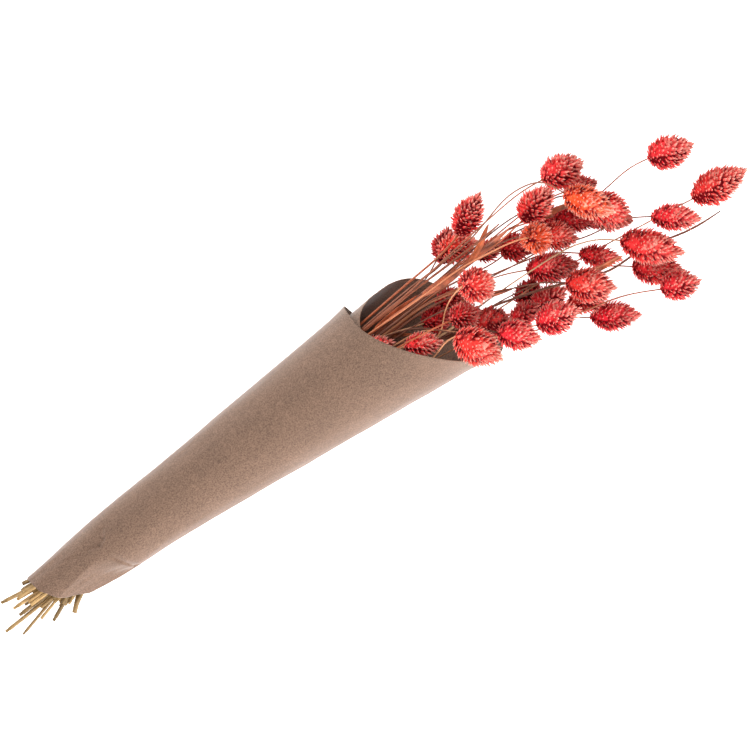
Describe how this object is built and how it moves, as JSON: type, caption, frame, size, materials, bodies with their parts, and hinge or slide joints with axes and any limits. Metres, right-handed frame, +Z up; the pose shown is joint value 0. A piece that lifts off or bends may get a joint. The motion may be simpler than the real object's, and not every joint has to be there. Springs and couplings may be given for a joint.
{
  "type": "dried canary grass bunch in kraft paper",
  "caption": "Bunch of coral-dyed dried canary grass heads on thin brown stems, tied and rolled in an open kraft paper cone, lying on its side.",
  "frame": {"origin": "on the paper cone's flattened underside strip, in line with the cone's middle, 139 mm in from the middle of the paper's narrow end", "axes": "+X along the bunch towards the heads, +Z up away from the surface it lies on, +Y to the left seen from above with the heads ahead"},
  "size_m": [0.6105, 0.147, 0.1039],
  "materials": {
    "kraft_paper": "matte",
    "dyed_heads": "matte",
    "dry_stems": "matte",
    "tie_twine": "matte"
  },
  "bodies": {
    "root": {"paper_wrap": "kraft_paper", "stems": "dry_stems", "tie": "tie_twine", "head_01": "dyed_heads", "head_02": "dyed_heads", "head_03": "dyed_heads", "head_04": "dyed_heads", "head_05": "dyed_heads", "head_06": "dyed_heads", "head_07": "dyed_heads", "head_08": "dyed_heads", "head_09": "dyed_heads", "head_10": "dyed_heads", "head_11": "dyed_heads", "head_12": "dyed_heads", "head_13": "dyed_heads", "head_14": "dyed_heads", "head_15": "dyed_heads", "head_16": "dyed_heads", "head_17": "dyed_heads", "head_18": "dyed_heads", "head_19": "dyed_heads", "head_20": "dyed_heads", "head_21": "dyed_heads", "head_22": "dyed_heads", "head_23": "dyed_heads", "head_24": "dyed_heads", "head_25": "dyed_heads", "head_26": "dyed_heads", "head_27": "dyed_heads", "head_28": "dyed_heads", "head_29": "dyed_heads", "head_30": "dyed_heads", "head_31": "dyed_heads", "head_32": "dyed_heads", "head_33": "dyed_heads", "head_34": "dyed_heads", "head_35": "dyed_heads", "head_36": "dyed_heads", "head_37": "dyed_heads", "head_38": "dyed_heads", "head_39": "dyed_heads"}
  },
  "joints": []
}
